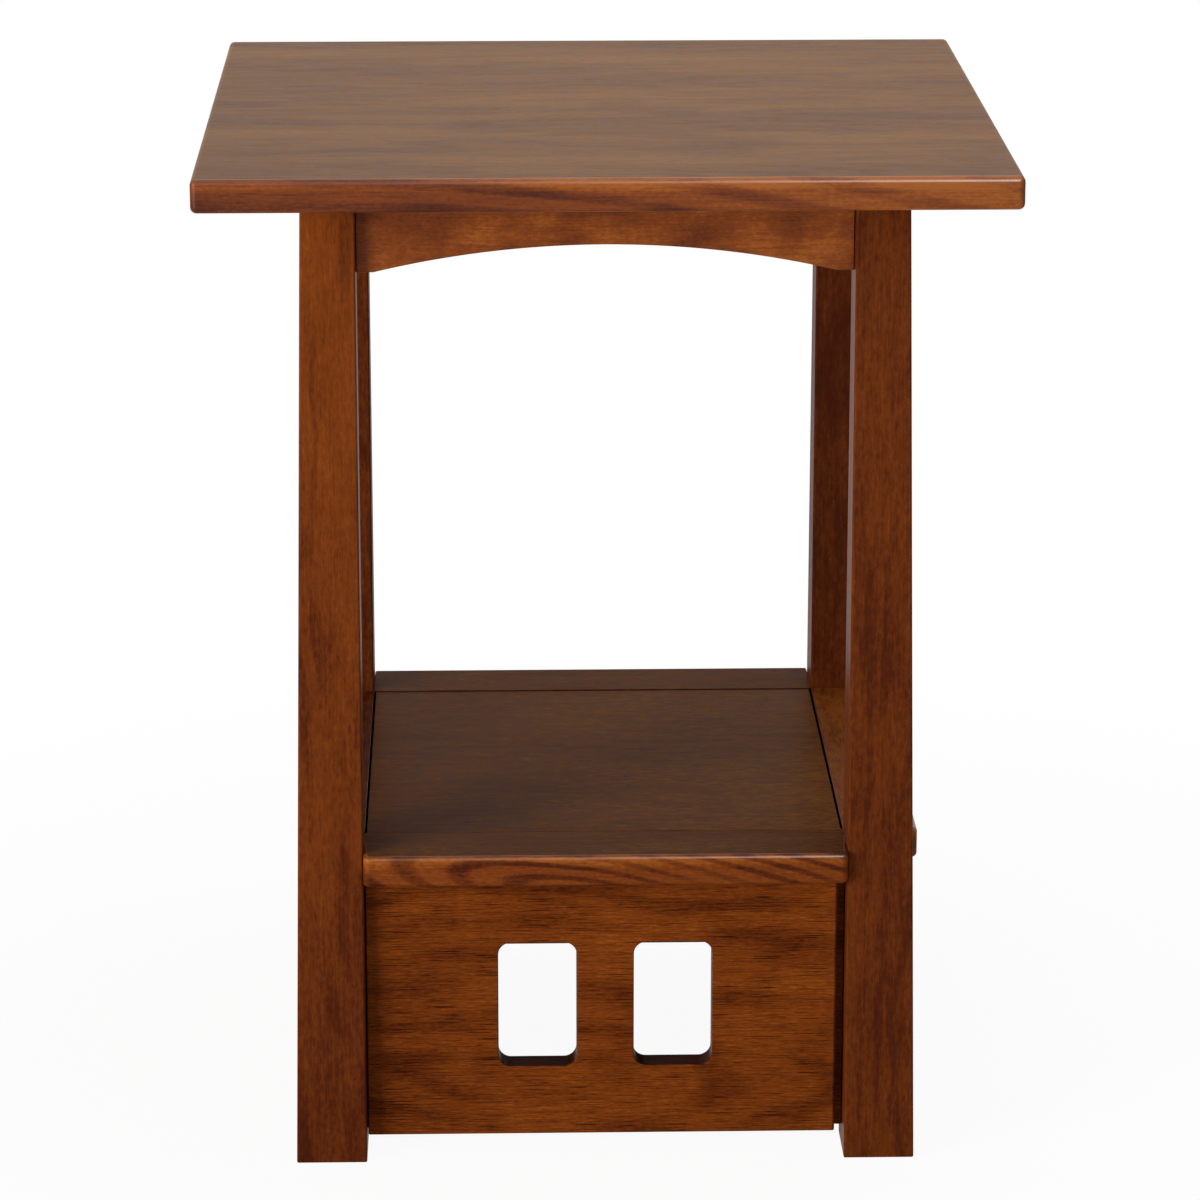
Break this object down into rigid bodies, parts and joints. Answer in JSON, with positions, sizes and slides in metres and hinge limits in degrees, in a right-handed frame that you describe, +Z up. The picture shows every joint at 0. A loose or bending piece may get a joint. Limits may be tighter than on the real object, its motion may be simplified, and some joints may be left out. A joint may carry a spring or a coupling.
{
  "type": "end table with shelf",
  "caption": "Square end table with spreading tapered legs, arched aprons, a framed lower shelf and skirt panels with rounded cut-outs below it.",
  "frame": {"origin": "on the floor under the middle of the table top", "axes": "+Z up from the floor, +X to the right and +Y to the back when facing the front of the table"},
  "size_m": [0.508, 0.508, 0.663],
  "materials": {
    "top_wood": "satin lacquer",
    "leg_wood": "satin lacquer",
    "apron_wood": "satin lacquer",
    "rail_wood": "satin lacquer",
    "shelf_board_wood": "satin lacquer",
    "panel_wood": "satin lacquer",
    "inner_wood": "unfinished",
    "screw_steel": "zinc plated"
  },
  "bodies": {
    "root": {"apron_front": "apron_wood", "apron_left": "apron_wood", "apron_rear": "apron_wood", "apron_right": "apron_wood", "corner_block_front_left": "inner_wood", "corner_block_front_right": "inner_wood", "corner_block_rear_left": "inner_wood", "corner_block_rear_right": "inner_wood", "leg_front_left": "leg_wood", "leg_front_right": "leg_wood", "leg_rear_left": "leg_wood", "leg_rear_right": "leg_wood", "lower_panel_front": "panel_wood", "lower_panel_left": "panel_wood", "lower_panel_rear": "panel_wood", "lower_panel_right": "panel_wood", "shelf_board": "shelf_board_wood", "shelf_cleat_front": "inner_wood", "shelf_cleat_left": "inner_wood", "shelf_cleat_rear": "inner_wood", "shelf_cleat_right": "inner_wood", "shelf_rail_front": "rail_wood", "shelf_rail_left": "rail_wood", "shelf_rail_rear": "rail_wood", "shelf_rail_right": "rail_wood", "table_top": "top_wood", "top_screws": "screw_steel"}
  },
  "joints": []
}
